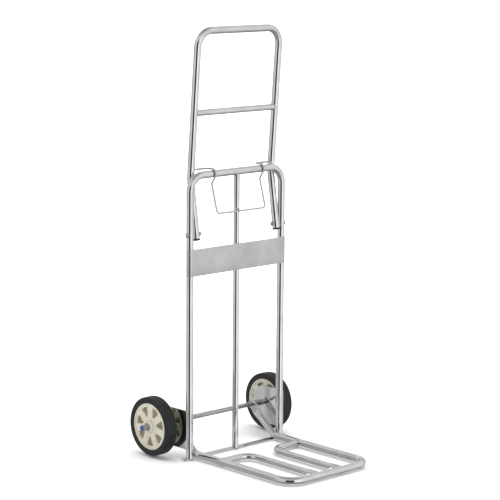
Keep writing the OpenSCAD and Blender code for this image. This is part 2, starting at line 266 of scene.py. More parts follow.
def grown(tree, name, paths, finish, closed=False, **sizes):
    """Runs a Geometry Nodes group on paths and returns its result as a plain mesh object."""
    points, edges = [], []
    for path in paths:
        start = len(points)
        points += [tuple(p) for p in path]
        edges += [(start + i, start + i + 1) for i in range(len(path) - 1)]
        if closed:
            edges.append((len(points) - 1, start))
    line = bpy.data.meshes.new(name + "_path")
    line.from_pydata(points, edges, [])
    holder = bpy.data.objects.new(name + "_path", line)
    scene.collection.objects.link(holder)
    nodes = holder.modifiers.new("nodes", "NODES")
    nodes.node_group = tree
    nodes[socket_id(tree, "Finish")] = finish
    for size, value in sizes.items():
        nodes[socket_id(tree, size.replace("_", " "))] = value
    bpy.context.view_layer.update()
    evaluated = holder.evaluated_get(bpy.context.evaluated_depsgraph_get())
    mesh = bpy.data.meshes.new_from_object(evaluated)
    bpy.data.objects.remove(holder)
    return finished(mesh, name)


def place_on(piece, body, slot, *nodes):
    """Says which body a piece moves with and which nodes it stands for. Its slot is not used."""
    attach(piece, body)
    if nodes:
        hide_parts(*nodes)
    return piece


# Bright nickel-chrome plating over polished steel: a clear mirror with the faint waviness of
# drawn tube, and patches that are a little hazier where it has been handled.
bright_chrome, tree, shader = material("bright_chrome_plate", "DDDEE0", 0.07, 1.0)
spot = add(tree, "ShaderNodeTexCoord").outputs["Object"]
HAZE_PATCH = 45 * MM
haze = add(tree, "ShaderNodeTexNoise", {"Vector": spot, "Scale": 1 / HAZE_PATCH, "Detail": 4.0})
haze_level = add(tree, "ShaderNodeMapRange", {"Value": haze.outputs["Fac"], "From Min": 0.35, "From Max": 0.7,
                                              "To Min": 0.05, "To Max": 0.13})
tree.links.new(haze_level.outputs[0], shader.inputs["Roughness"])
tint = ramp(tree, haze.outputs["Fac"], [(0.3, linear("E4E5E8")), (0.7, linear("D3D2D0"))])
tree.links.new(tint.outputs["Color"], shader.inputs["Base Color"])
DRAW_WAVE = 9 * MM
wave = add(tree, "ShaderNodeTexNoise", {"Vector": spot, "Scale": 1 / DRAW_WAVE, "Detail": 2.0})
ripple = add(tree, "ShaderNodeBump", {"Height": wave.outputs["Fac"], "Strength": 0.12, "Distance": 0.1 * MM})
tree.links.new(ripple.outputs["Normal"], shader.inputs["Normal"])

frame_path = rounded([(-LEG_X, 0, STRIP_T), (-LEG_X, 0, TOP_Z), (LEG_X, 0, TOP_Z), (LEG_X, 0, STRIP_T)],
                     BEND_R)
frame_tube = grown(bar_tree, "frame_tube", [frame_path], bright_chrome, Radius=TUBE_R, Sides=56)
place_on(frame_tube, "frame", "chromed_tube", "main_frame_tube")

# --- Centre tube ----------------------------------------------------------------------------
# A thinner tube of the same steel, notched at its top to sit under the frame's top bar and
# welded there and to the foot strip.
THIN_R = 8 * MM
centre_tube = grown(bar_tree, "centre_upright", [[(0, 0, STRIP_T), (0, 0, TOP_Z - TUBE_R / 2)]],
                    bright_chrome, Radius=THIN_R, Sides=48)
place_on(centre_tube, "frame", "chromed_tube", "centre_tube")

# --- Foot strip -----------------------------------------------------------------------------
# Flat steel bar with round ends, plated with the frame. The three uprights stand on it.
strip_low, strip_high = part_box("foot_strip")
EDGE_BREAK = 0.6 * MM


def slab(name, outline, thickness, finish, edge=EDGE_BREAK):
    """A flat piece: a closed outline of 3-D points, made thick along a vector, with broken edges."""
    shape = bmesh.new()
    face = shape.faces.new([shape.verts.new(p) for p in outline])
    pushed = bmesh.ops.extrude_face_region(shape, geom=[face])
    moved = [v for v in pushed["geom"] if isinstance(v, bmesh.types.BMVert)]
    bmesh.ops.translate(shape, verts=moved, vec=Vector(thickness))
    bmesh.ops.recalc_face_normals(shape, faces=shape.faces)
    sharp = [e for e in shape.edges if e.calc_face_angle() > math.radians(30)]
    bmesh.ops.bevel(shape, geom=sharp, offset=edge, segments=2, profile=0.5, affect="EDGES",
                    clamp_overlap=True)
    mesh = bpy.data.meshes.new(name)
    shape.to_mesh(mesh)
    shape.free()
    mesh.materials.append(finish)
    return finished(mesh, name)


strip_r = (strip_high.y - strip_low.y) / 2
strip_outline = rounded([(strip_low.x, strip_low.y, strip_low.z), (strip_high.x, strip_low.y, strip_low.z),
                         (strip_high.x, strip_high.y, strip_low.z), (strip_low.x, strip_high.y, strip_low.z)],
                        strip_r * 0.98, closed=True)
foot_strip = slab("foot_bar", strip_outline, (0, 0, STRIP_T), bright_chrome)
place_on(foot_strip, "frame", "chromed_tube", "foot_strip")

# --- Back plate -----------------------------------------------------------------------------
# Thin steel sheet across the fronts of the legs, its ends rolled round them and spot welded.
# It is satin chromed: the brush lines run across it and blur what it mirrors.
plate_low, plate_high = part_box("back_plate")
SHEET_T = 1.2 * MM
WRAP_END = math.asin(2 / 10.7)

satin_chrome, tree, shader = material("satin_chrome_sheet", "CFCFCE", 0.3, 1.0)
spot = add(tree, "ShaderNodeTexCoord").outputs["Object"]
BRUSH_PITCH = 1.2 * MM
BRUSH_LENGTH = 90 * MM
grain_scale = (1 / BRUSH_LENGTH, 1 / BRUSH_LENGTH, 1 / BRUSH_PITCH)
grain_place = add(tree, "ShaderNodeMapping", {"Vector": spot, "Scale": grain_scale})
grain = add(tree, "ShaderNodeTexNoise", {"Vector": grain_place.outputs[0], "Scale": 1.0, "Detail": 5.0})
grain_level = add(tree, "ShaderNodeMapRange", {"Value": grain.outputs["Fac"], "To Min": 0.22, "To Max": 0.42})
tree.links.new(grain_level.outputs[0], shader.inputs["Roughness"])
clouds = add(tree, "ShaderNodeTexNoise", {"Vector": spot, "Scale": 1 / (60 * MM), "Detail": 3.0})
tint = ramp(tree, clouds.outputs["Fac"], [(0.3, linear("D6D6D6")), (0.72, linear("C3C2C0"))])
tree.links.new(tint.outputs["Color"], shader.inputs["Base Color"])
scratch = add(tree, "ShaderNodeBump", {"Height": grain.outputs["Fac"], "Strength": 0.1, "Distance": 0.05 * MM})
tree.links.new(scratch.outputs["Normal"], shader.inputs["Normal"])


def wrap(side, radius):
    """Points of the sheet's rolled end round a leg, from its front to where it stops."""
    steps = 14
    turns = [-math.pi / 2 + (math.pi / 2 + WRAP_END) * k / steps for k in range(steps + 1)]
    return [(side * (LEG_X + radius * math.cos(t)), radius * math.sin(t), plate_low.z) for t in turns]


outer_wrap = TUBE_R + SHEET_T
inner_wrap = TUBE_R + 0.05 * MM
sheet_outline = (wrap(1, outer_wrap) + wrap(1, inner_wrap)[::-1]
                 + wrap(-1, inner_wrap) + wrap(-1, outer_wrap)[::-1])
back_plate = slab("back_sheet", sheet_outline, (0, 0, plate_high.z - plate_low.z), satin_chrome,
                  edge=0.35 * MM)
place_on(back_plate, "frame", "back_plate_sheet", "back_plate")

# --- Axle brackets --------------------------------------------------------------------------
# Two steel plates with their rear corners cut off, welded edge-on to the legs' outer sides and
# chromed with the frame, so their flat faces are mirrors.
bracket_low, bracket_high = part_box("bracket_right")
CUT_Y = 30 * MM
CUT_Z = 24 * MM

for side, name in ((-1, "bracket_left"), (1, "bracket_right")):
    inner_x = side * bracket_low.x
    profile = [(bracket_low.y, bracket_low.z), (bracket_high.y - CUT_Y, bracket_low.z),
               (bracket_high.y, bracket_low.z + CUT_Z), (bracket_high.y, bracket_high.z - CUT_Z),
               (bracket_high.y - CUT_Y, bracket_high.z), (bracket_low.y, bracket_high.z)]
    outline = rounded([(inner_x, y, z) for y, z in profile], 2.5 * MM, closed=True)
    plate = slab(name + "_plate", outline, (side * (bracket_high.x - bracket_low.x), 0, 0), bright_chrome)
    place_on(plate, "frame", "bracket_plate", name)

# --- Axle, spacers and caps -----------------------------------------------------------------
# A zinc plated rod runs through both brackets and wheels. Turned sleeves keep the toe plate's
# eyes and the wheels in place, and push-on caps with blue discs close its ends.
axle_low, axle_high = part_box("axle_rod")
AXLE_Y = (axle_low.y + axle_high.y) / 2
AXLE_Z = (axle_low.z + axle_high.z) / 2
AXLE_R = (axle_high.z - axle_low.z) / 2

zinc, tree, shader = material("zinc_plate", "B9BBBE", 0.3, 1.0)
spot = add(tree, "ShaderNodeTexCoord").outputs["Object"]
SPANGLE = 5 * MM
spangle = add(tree, "ShaderNodeTexNoise", {"Vector": spot, "Scale": 1 / SPANGLE, "Detail": 5.0})
tint = ramp(tree, spangle.outputs["Fac"], [(0.3, linear("C9CBCF")), (0.7, linear("A6A7A8"))])
tree.links.new(tint.outputs["Color"], shader.inputs["Base Color"])
level = add(tree, "ShaderNodeMapRange", {"Value": spangle.outputs["Fac"], "To Min": 0.18, "To Max": 0.4})
tree.links.new(level.outputs[0], shader.inputs["Roughness"])


def lathe(name, profile, finish, steps=96, closed=True, centre=(AXLE_Y, AXLE_Z)):
    """Turns a profile of (x, radius) points round a line along X through centre."""
    shape = bmesh.new()
    rings = []
    for k in range(steps):
        t = 2 * math.pi * k / steps
        rings.append([shape.verts.new((x, centre[0] + r * math.cos(t), centre[1] + r * math.sin(t)))
                      for x, r in profile])
    last = len(profile) if closed else len(profile) - 1
    for k in range(steps):
        a, b = rings[k], rings[(k + 1) % steps]
        for i in range(last):
            j = (i + 1) % len(profile)
            shape.faces.new((a[i], a[j], b[j], b[i]))
    bmesh.ops.remove_doubles(shape, verts=shape.verts, dist=1e-7)
    bmesh.ops.recalc_face_normals(shape, faces=shape.faces)
    mesh = bpy.data.meshes.new(name)
    shape.to_mesh(mesh)
    shape.free()
    mesh.materials.append(finish)
    return finished(mesh, name)


def joined(name, pieces):
    """Joins several objects of one piece into one object."""
    with bpy.context.temp_override(active_object=pieces[0], selected_editable_objects=pieces):
        bpy.ops.object.join()
    pieces[0].name = name
    pieces[0].data.name = name
    return pieces[0]


def turned(points, radius):
    """A closed profile of (x, radius) points with its corners rounded."""
    return [(p.x, p.y) for p in rounded([(x, r, 0) for x, r in points], radius, closed=True)]


def mirrored_pair(name, points, radius, finish, **options):
    """The same turned ring on both sides of the truck."""
    return joined(name, [lathe(name, turned([(side * x, r) for x, r in points], radius), finish, **options)
                         for side in (-1, 1)])


axle = grown(bar_tree, "axle", [[(axle_low.x, AXLE_Y, AXLE_Z), (axle_high.x, AXLE_Y, AXLE_Z)]], zinc,
             Radius=AXLE_R, Sides=40)
place_on(axle, "frame", "plated_steel", "axle_rod")

sleeve_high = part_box("strut_spacers")[1]
sleeve_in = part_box("toe_strut_right")[1].x + 0.5 * MM
sleeve_r = sleeve_high.z - AXLE_Z
sleeves = mirrored_pair("strut_sleeves", [
    (sleeve_in, AXLE_R), (sleeve_high.x, AXLE_R), (sleeve_high.x, sleeve_r), (sleeve_in, sleeve_r)],
    0.6 * MM, zinc, steps=48)
place_on(sleeves, "frame", "plated_steel", "strut_spacers")

spacer_low, spacer_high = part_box("wheel_spacers")
SLEEVE_R = AXLE_R + 2.5 * MM
WASHER_T = 2 * MM
washer_r = (spacer_high.z - spacer_low.z) / 2
wheel_spacers = mirrored_pair("wheel_sleeves", [
    (bracket_high.x, AXLE_R), (spacer_high.x, AXLE_R), (spacer_high.x, washer_r),
    (spacer_high.x - WASHER_T, washer_r), (spacer_high.x - WASHER_T, SLEEVE_R), (bracket_high.x, SLEEVE_R)],
    0.4 * MM, zinc, steps=48)
place_on(wheel_spacers, "frame", "plated_steel", "wheel_spacers")

cap_low, cap_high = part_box("axle_caps")
CAP_R = 7.5 * MM
CAP_LENGTH = 17 * MM
COLLAR_T = 1.5 * MM
collar_r = (cap_high.z - cap_low.z) / 2
cap_in = cap_high.x - CAP_LENGTH
caps = mirrored_pair("push_caps", [
    (cap_in, AXLE_R), (cap_high.x, AXLE_R), (cap_high.x, CAP_R), (cap_in + COLLAR_T, CAP_R),
    (cap_in + COLLAR_T, collar_r), (cap_in, collar_r)], 0.5 * MM, zinc, steps=56)
place_on(caps, "frame", "plated_steel", "axle_caps")

# Injection-moulded blue plastic, smooth and glossy.
blue_plastic, tree, shader = material("moulded_blue_plastic", "2A479E", 0.32)
spot = add(tree, "ShaderNodeTexCoord").outputs["Object"]
flow = add(tree, "ShaderNodeTexNoise", {"Vector": spot, "Scale": 1 / (3 * MM), "Detail": 3.0})
tint = ramp(tree, flow.outputs["Fac"], [(0.3, linear("2C4CA8")), (0.7, linear("243F8E"))])
tree.links.new(tint.outputs["Color"], shader.inputs["Base Color"])
insert_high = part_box("cap_inserts")[1]
INSERT_R = 6.2 * MM
DIMPLE_R = 2.2 * MM
inserts = mirrored_pair("cap_discs", [
    (insert_high.x - 2 * MM, 2 * MM), (insert_high.x, 2 * MM),
    (insert_high.x, INSERT_R), (insert_high.x - 2 * MM, INSERT_R)],
    0.6 * MM, blue_plastic, steps=48)
discs = joined("cap_discs", [inserts] + [
    lathe("cap_disc_middle", [(side * (insert_high.x - 1.2 * MM), 0), (side * (insert_high.x - 0.5 * MM), 0),
                              (side * (insert_high.x - 0.5 * MM), DIMPLE_R),
                              (side * (insert_high.x - 1.2 * MM), DIMPLE_R)],
          blue_plastic, steps=32, closed=False) for side in (-1, 1)])
place_on(discs, "frame", "blue_plastic", "cap_inserts")

# --- Pivot bolts and nuts -------------------------------------------------------------------
# Domed bolts through the frame legs, with a thin washer under each head and a nut on the
# inside of the handle. The handle folds on their plain shanks.
bolt_low, bolt_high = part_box("pivot_bolts")
PIVOT_Y = (bolt_low.y + bolt_high.y) / 2
PIVOT_Z = (bolt_low.z + bolt_high.z) / 2
HEAD_R = (bolt_high.z - bolt_low.z) / 2
HEAD_H = bolt_high.x - (LEG_X + TUBE_R)
SHANK_R = 3 * MM
shank_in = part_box("pivot_nuts")[1].x - 6.5 * MM
dome = [((LEG_X + TUBE_R) + HEAD_H * math.sin(t), HEAD_R * math.cos(t))
        for t in [math.radians(15 + 75 * k / 10) for k in range(11)]]
bolt_profile = ([(shank_in, 0), (shank_in, SHANK_R - 0.5 * MM), (shank_in + 0.5 * MM, SHANK_R),
                 (LEG_X + TUBE_R - 1 * MM, SHANK_R), (LEG_X + TUBE_R - 1 * MM, HEAD_R),
                 (LEG_X + TUBE_R + 0.4 * MM, HEAD_R)]
                + dome)
bolts = joined("pivot_bolt_pair", [
    lathe("bolt", [(side * x, r) for x, r in bolt_profile], zinc, steps=40, closed=False,
          centre=(PIVOT_Y, PIVOT_Z))
    for side in (-1, 1)])
place_on(bolts, "frame", "plated_steel", "pivot_bolts")
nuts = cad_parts["pivot_nuts"]
nuts.data.materials.clear()
nuts.data.materials.append(zinc)

# --- Handle ---------------------------------------------------------------------------------
# A second inverted U of the same tube inside the frame's legs. Each leg is cranked so that the
# grip stands nearly upright above the frame, and a thinner crossbar is welded across it.
PIVOT_TAIL = 13 * MM
KINK = Vector((0, 20.6, 717)) * MM
GRIP = Vector((0, -7.5, 1088)) * MM
KINK_R = 80 * MM
HANDLE_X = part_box("handle_tube")[1].x - TUBE_R
across = Vector((HANDLE_X, 0, 0))
pivot = Vector((0, PIVOT_Y, PIVOT_Z))
lower_way = (KINK - pivot).normalized()
foot = pivot - lower_way * PIVOT_TAIL
handle_path = rounded([foot - across, KINK - across, GRIP - across,
                       GRIP + across, KINK + across, foot + across],
                      [0, KINK_R, BEND_R, BEND_R, KINK_R, 0])
handle = grown(bar_tree, "handle_bow", [handle_path], bright_chrome, Radius=TUBE_R, Sides=56)
place_on(handle, "handle", "chromed_tube", "handle_tube")

cross_low, cross_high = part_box("handle_crossbar")
CROSS_Y = (cross_low.y + cross_high.y) / 2
CROSS_Z = (cross_low.z + cross_high.z) / 2
crossbar = grown(bar_tree, "handle_rung", [[(-HANDLE_X, CROSS_Y, CROSS_Z), (HANDLE_X, CROSS_Y, CROSS_Z)]],
                 bright_chrome, Radius=THIN_R, Sides=48)
place_on(crossbar, "handle", "chromed_tube", "handle_crossbar")

# Black polythene plugs close the lower ends of the handle's legs.
black_plastic, tree, shader = material("moulded_black_polythene", "0C0C0D", 0.5)
spot = add(tree, "ShaderNodeTexCoord").outputs["Object"]
grain = add(tree, "ShaderNodeTexNoise", {"Vector": spot, "Scale": 1 / (0.8 * MM), "Detail": 3.0})
level = add(tree, "ShaderNodeMapRange", {"Value": grain.outputs["Fac"], "To Min": 0.35, "To Max": 0.55})
tree.links.new(level.outputs[0], shader.inputs["Roughness"])
PLUG_OUT = 4 * MM
PLUG_STEPS = 8
PLUG_R = TUBE_R + 0.3 * MM
DOME_START = 7.0
DOME_SHAPE = 0.35
plug_tree, given = new_group("domed_plug", "Radius", "Sides")
plug_line = add(plug_tree, "GeometryNodeMeshToCurve", {"Mesh": given.outputs["Path"]})
plug_along = add(plug_tree, "GeometryNodeSplineParameter")
from_end = add(plug_tree, "ShaderNodeMath", {0: 1.0, 1: plug_along.outputs["Factor"]}, operation="SUBTRACT")
dome_in = add(plug_tree, "ShaderNodeMath", {0: from_end.outputs[0], 1: DOME_START}, operation="POWER")
dome_rest = add(plug_tree, "ShaderNodeMath", {0: 1.0, 1: dome_in.outputs[0]}, operation="SUBTRACT")
dome_out = add(plug_tree, "ShaderNodeMath", {0: dome_rest.outputs[0], 1: DOME_SHAPE}, operation="POWER")
plug_size = add(plug_tree, "ShaderNodeMath", {0: dome_out.outputs[0], 1: given.outputs["Radius"]},
                operation="MULTIPLY")
plug_taper = add(plug_tree, "GeometryNodeSetCurveRadius",
                 {"Curve": plug_line.outputs[0], "Radius": plug_size.outputs[0]})
plug_ring = add(plug_tree, "GeometryNodeCurvePrimitiveCircle",
                {"Resolution": given.outputs["Sides"], "Radius": 1.0})
plug_body = add(plug_tree, "GeometryNodeCurveToMesh",
                {"Curve": plug_taper.outputs[0], "Profile Curve": plug_ring.outputs[0],
                 "Scale": plug_size.outputs[0], "Fill Caps": True})
close_group(plug_tree, given, plug_body.outputs[0])
plug_rises = [PLUG_OUT * (0.02 + 1.4 * k / PLUG_STEPS) - (PLUG_OUT - 0.1 * MM) for k in range(PLUG_STEPS + 1)]
plug_paths = [[foot + side * across + lower_way * rise for rise in plug_rises] for side in (-1, 1)]
plugs = grown(plug_tree, "leg_plugs", plug_paths, black_plastic, Radius=PLUG_R, Sides=40)
place_on(plugs, "handle", "black_plastic", "handle_plugs")

# --- Latch wire -----------------------------------------------------------------------------
# One length of spring wire. Its ends turn in the handle's legs, it hooks over the frame's top
# bar and hangs in front of the centre tube as a loop that the hand pulls.
WIRE_R = 2.5 * MM
ARM_R = 6 * MM
LOOP_R = 9 * MM
HOOK_R = TUBE_R + WIRE_R + 0.45 * MM
UNDER_Y = 3 * MM
wire_low, wire_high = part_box("latch_wire")
LOOP_X = 83 * MM
wire_z = TOP_Z + HOOK_R
wire_y = wire_high.y - WIRE_R
loop_z = wire_low.z + WIRE_R
under_run = (UNDER_Y + 0.8 * HOOK_R) / 0.6
under_z = TOP_Z - 0.6 * HOOK_R - 0.8 * under_run
loop_y = UNDER_Y - (under_z - loop_z) * 0.28 / 0.96
half_wire = [(wire_high.x, wire_y, wire_z), (LOOP_X, wire_y, wire_z), (LOOP_X, -2 * HOOK_R, wire_z),
             (LOOP_X, UNDER_Y, under_z), (LOOP_X, loop_y, loop_z)]
half_radii = [0, ARM_R, HOOK_R, LOOP_R, LOOP_R]

# Satin plated spring wire: a flat light grey, much duller than the chrome.
dull_wire, tree, shader = material("dull_plated_wire", "A6A6A7", 0.5, 0.35)
spot = add(tree, "ShaderNodeTexCoord").outputs["Object"]
patches = add(tree, "ShaderNodeTexNoise", {"Vector": spot, "Scale": 1 / (12 * MM), "Detail": 5.0})
level = add(tree, "ShaderNodeMapRange", {"Value": patches.outputs["Fac"], "To Min": 0.42, "To Max": 0.6})
tree.links.new(level.outputs[0], shader.inputs["Roughness"])
tint = ramp(tree, patches.outputs["Fac"], [(0.3, linear("ADADAE")), (0.7, linear("9C9C9D"))])
tree.links.new(tint.outputs["Color"], shader.inputs["Base Color"])

wire_path = rounded([(-x, y, z) for x, y, z in half_wire] + half_wire[::-1], half_radii + half_radii[::-1])
latch = grown(bar_tree, "latch_bail", [wire_path], dull_wire, Radius=WIRE_R, Sides=24)
place_on(latch, "latch", "latch_wire", "latch_wire")

# --- Toe plate ------------------------------------------------------------------------------
# One tube bent to a U. Behind the legs its two ends bend up and are pressed flat round the
# axle, on which the whole toe plate folds up against the frame.
TOE_R = 9 * MM
CORNER_R = 45 * MM
STRUT_BEND_R = 32 * MM
EYE_T = 5 * MM
EYE_R = 12.5 * MM
EYE_SHIFT = 3.5 * MM
STRUT_SLOPE = math.atan(3 / 4)
FLAT_FROM = 48 * MM
FLAT_TO = 24 * MM
toe_low, toe_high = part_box("toe_tube")
TOE_X = toe_high.x - TOE_R
TOE_Z = (toe_low.z + toe_high.z) / 2
TOE_Y = toe_low.y + TOE_R
bend_y = AXLE_Y - (AXLE_Z - TOE_Z) / math.tan(STRUT_SLOPE)


def loft(name, points, section, finish, up, sides=48):
    """A bar along points. section(point) gives half width, half height and sideways and upward shifts."""
    shape = bmesh.new()
    up = Vector(up)
    rings = []
    for i, point in enumerate(points):
        ahead = points[min(i + 1, len(points) - 1)] - points[max(i - 1, 0)]
        ahead.normalize()
        up = (up - ahead * up.dot(ahead)).normalized()
        beside = ahead.cross(up)
        half_w, half_h, shift_side, shift_up, power = section(point)
        ring = []
        for k in range(sides):
            t = 2 * math.pi * k / sides
            c, s = math.cos(t), math.sin(t)
            w = math.copysign(abs(c) ** (2 / power), c) * half_w
            h = math.copysign(abs(s) ** (2 / power), s) * half_h
            ring.append(shape.verts.new(point + beside * w + up * h + Vector(shift_side) + Vector(shift_up)))
        rings.append(ring)
    for a, b in zip(rings, rings[1:]):
        for k in range(sides):
            shape.faces.new((a[k], a[(k + 1) % sides], b[(k + 1) % sides], b[k]))
    shape.faces.new(rings[0])
    shape.faces.new(rings[-1])
    bmesh.ops.recalc_face_normals(shape, faces=shape.faces)
    mesh = bpy.data.meshes.new(name)
    shape.to_mesh(mesh)
    shape.free()
    mesh.materials.append(finish)
    return finished(mesh, name, sharp=50)


def eased(value, start, end):
    """0 before start, 1 after end and a smooth step between them."""
    t = min(max((value - start) / (end - start), 0), 1)
    return t * t * (3 - 2 * t)


def toe_section(point):
    """The U's section: round, then pressed flat near the axle and rounded off as an eye."""
    along = math.hypot(point.y - AXLE_Y, point.z - AXLE_Z)
    behind = -along if (point.y - AXLE_Y) > 0 else along
    flat = eased(-behind, -FLAT_FROM, -FLAT_TO)
    half_w = TOE_R + (EYE_T / 2 - TOE_R) * flat
    half_h = TOE_R + (EYE_R - TOE_R) * flat
    if behind < EYE_R * 0.5:
        half_h = math.sqrt(max(EYE_R ** 2 - behind ** 2, 0.2 * MM ** 2))
    shift = math.copysign(EYE_SHIFT * flat, point.x)
    return half_w, half_h, (shift, 0, 0), (0, 0, 0), 2 + 3 * flat


def refined(points, step):
    """The same path with no stretch longer than step."""
    dense = [points[0]]
    for a, b in zip(points, points[1:]):
        parts = max(1, math.ceil((b - a).length / step))
        dense += [a.lerp(b, k / parts) for k in range(1, parts + 1)]
    return dense


strut_way = Vector((0, math.cos(STRUT_SLOPE), math.sin(STRUT_SLOPE)))
eye_end = Vector((-TOE_X, AXLE_Y, AXLE_Z)) + strut_way * EYE_R * 0.998
half_toe = [eye_end, Vector((-TOE_X, bend_y, TOE_Z)), Vector((-TOE_X, TOE_Y, TOE_Z))]
flip = Vector((-1, 1, 1))
toe_path = rounded(half_toe + [p * flip for p in half_toe[::-1]],
                   [0, STRUT_BEND_R, CORNER_R, CORNER_R, STRUT_BEND_R, 0])
toe_points = refined(toe_path, 2 * MM)
toe_bow = loft("toe_bow", toe_points, toe_section, bright_chrome, (0, -0.6, 0.8))
place_on(toe_bow, "toe_plate", "chromed_tube", "toe_tube", "toe_strut_left", "toe_strut_right")

# The inner rails are thinner tube. Each leaves a side at right angles, bends forward, and its
# end is pressed to a flat tongue that lies on the front bar and is welded to it.
RAIL_R = THIN_R
RAIL_BEND_R = 34 * MM
RAIL_BACK = -95 * MM
RAIL_X = 40 * MM
TONGUE_LENGTH = 26 * MM
TONGUE_HALF_W = 10.5 * MM
TONGUE_HALF_T = 2.75 * MM
TONGUE_RISE = 3.75 * MM
PRESS_LENGTH = 16 * MM
RAIL_Z = TOE_Z - TOE_R + RAIL_R
tongue_y = TOE_Y + TOE_R + TONGUE_LENGTH


def rail_section(point):
    """Round tube, pressed flat at its front end."""
    flat = eased(-point.y, -(tongue_y + PRESS_LENGTH), -tongue_y)
    half_w = RAIL_R + (TONGUE_HALF_W - RAIL_R) * flat
    half_t = RAIL_R + (TONGUE_HALF_T - RAIL_R) * flat
    return half_w, half_t, (0, 0, 0), (0, 0, TONGUE_RISE * flat), 2 + 3 * flat


for side, name in ((-1, "toe_rail_left"), (1, "toe_rail_right")):
    rail_path = rounded([(side * (TOE_X - TOE_R * 0.6), RAIL_BACK, RAIL_Z),
                         (side * RAIL_X, RAIL_BACK, RAIL_Z),
                         (side * RAIL_X, TOE_Y + TOE_R * 0.2, RAIL_Z)], [0, RAIL_BEND_R, 0])
    rail = loft(name + "_bar", refined(rail_path, 2.5 * MM), rail_section, bright_chrome, (0, 0, 1), sides=40)
    place_on(rail, "toe_plate", "chromed_tube", name)

# --- Wheels ---------------------------------------------------------------------------------
# Each wheel is a one-piece moulded hub with seven spokes on both faces and a closed web between
# them, a solid rubber tyre moulded on its rim, and a flanged bush pressed into its boss.
SPOKES = 7
HUB_R = 61 * MM
HUB_WIDTH = 31 * MM
HUB_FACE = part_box("tyre_right")[1].x - 1 * MM
RIM_IN = 56.5 * MM
BOSS_R = 15 * MM
BOSS_OUT = 4 * MM
BUSH_R = 9 * MM
BORE_R = AXLE_R + 0.05 * MM
FLANGE_R = 12 * MM
FLANGE_T = 1.5 * MM
SPOKE_FACE = 2 * MM
POCKET_IN = 26 * MM
POCKET_OUT = 51 * MM
POCKET_DEPTH = 9 * MM
RIB_HALF = 9 * MM
SHOULDER = 5 * MM
GROOVE_W = 0.9 * MM
GROOVE_D = 1.1 * MM
POCKET_CORNER = 3.2 * MM
FACE_BEVEL = 0.7 * MM
SINK = 0.15 * MM
LIP_STEP = 1.5 * MM
RIM_BACK = HUB_WIDTH - SPOKE_FACE
RING_STEPS = 120

# Polypropylene, moulded in a warm beige, with the fine matt grain of the mould.
hub_plastic, tree, shader = material("moulded_beige_polypropylene", "C9C5B6", 0.5)
spot = add(tree, "ShaderNodeTexCoord").outputs["Object"]
clouds = add(tree, "ShaderNodeTexNoise", {"Vector": spot, "Scale": 1 / (18 * MM), "Detail": 4.0})
tint = ramp(tree, clouds.outputs["Fac"], [(0.3, linear("CECABC")), (0.7, linear("C1BCAB"))])
tree.links.new(tint.outputs["Color"], shader.inputs["Base Color"])
MOULD_GRAIN = 0.7 * MM
grain = add(tree, "ShaderNodeTexNoise", {"Vector": spot, "Scale": 1 / MOULD_GRAIN, "Detail": 3.0})
level = add(tree, "ShaderNodeMapRange", {"Value": grain.outputs["Fac"], "To Min": 0.42, "To Max": 0.6})
tree.links.new(level.outputs[0], shader.inputs["Roughness"])
matt = add(tree, "ShaderNodeBump", {"Height": grain.outputs["Fac"], "Strength": 0.25, "Distance": 0.08 * MM})
tree.links.new(matt.outputs["Normal"], shader.inputs["Normal"])

# The same plastic down in the pockets, coloured a darker olive as painted shade, with a random mottle.
pocket_plastic, tree, shader = material("pocket_polypropylene_painted_shade", "9A9580", 0.65)
spot = add(tree, "ShaderNodeTexCoord").outputs["Object"]
pocket_mottle = add(tree, "ShaderNodeTexNoise", {"Vector": spot, "Scale": 1 / (9 * MM), "Detail": 5.0})
# Both tones are painted shade: darker and more olive than the hub plastic.
tint = ramp(tree, pocket_mottle.outputs["Fac"], [(0.3, linear("A5A08B")), (0.7, linear("89846F"))])
tree.links.new(tint.outputs["Color"], shader.inputs["Base Color"])

# Solid black rubber: matt, with mould marks and a bloom that lightens it in patches.
tyre_rubber, tree, shader = material("moulded_black_rubber", "111113", 0.55)
spot = add(tree, "ShaderNodeTexCoord").outputs["Object"]
bloom = add(tree, "ShaderNodeTexNoise", {"Vector": spot, "Scale": 1 / (14 * MM), "Detail": 6.0})
tint = ramp(tree, bloom.outputs["Fac"], [(0.32, linear("0D0D0F")), (0.72, linear("1E1E21"))])
tree.links.new(tint.outputs["Color"], shader.inputs["Base Color"])
level = add(tree, "ShaderNodeMapRange", {"Value": bloom.outputs["Fac"], "To Min": 0.42, "To Max": 0.66})
tree.links.new(level.outputs[0], shader.inputs["Roughness"])
skin = add(tree, "ShaderNodeTexNoise", {"Vector": spot, "Scale": 1 / (1.1 * MM), "Detail": 4.0})
mark = add(tree, "ShaderNodeBump", {"Height": skin.outputs["Fac"], "Strength": 0.35, "Distance": 0.12 * MM})
tree.links.new(mark.outputs["Normal"], shader.inputs["Normal"])

# Ivory acetal, smooth and slightly waxy.
bush_plastic, tree, shader = material("turned_ivory_acetal", "DAD4BF", 0.4)
spot = add(tree, "ShaderNodeTexCoord").outputs["Object"]
wax = add(tree, "ShaderNodeTexNoise", {"Vector": spot, "Scale": 1 / (5 * MM), "Detail": 3.0})
tint = ramp(tree, wax.outputs["Fac"], [(0.3, linear("DED9C6")), (0.7, linear("CFC8B1"))])
tree.links.new(tint.outputs["Color"], shader.inputs["Base Color"])


def pocket_outline(turn):
    """The rounded wedge between two spokes, turned round the hub."""
    half = math.pi / SPOKES
    corners = []
    for radius in (POCKET_IN, POCKET_OUT):
        corners.append((radius, half - math.asin(RIB_HALF / radius)))
    inner, outer = corners
    wedge = [(inner[0], -inner[1]), (outer[0], -outer[1]), (outer[0] * 1.02, 0), outer, inner]
    points = [Vector((r * math.cos(a + turn), r * math.sin(a + turn), 0)) for r, a in wedge]
    return rounded(points, [1.2 * MM, POCKET_CORNER, 30 * MM, POCKET_CORNER, 1.2 * MM], closed=True)


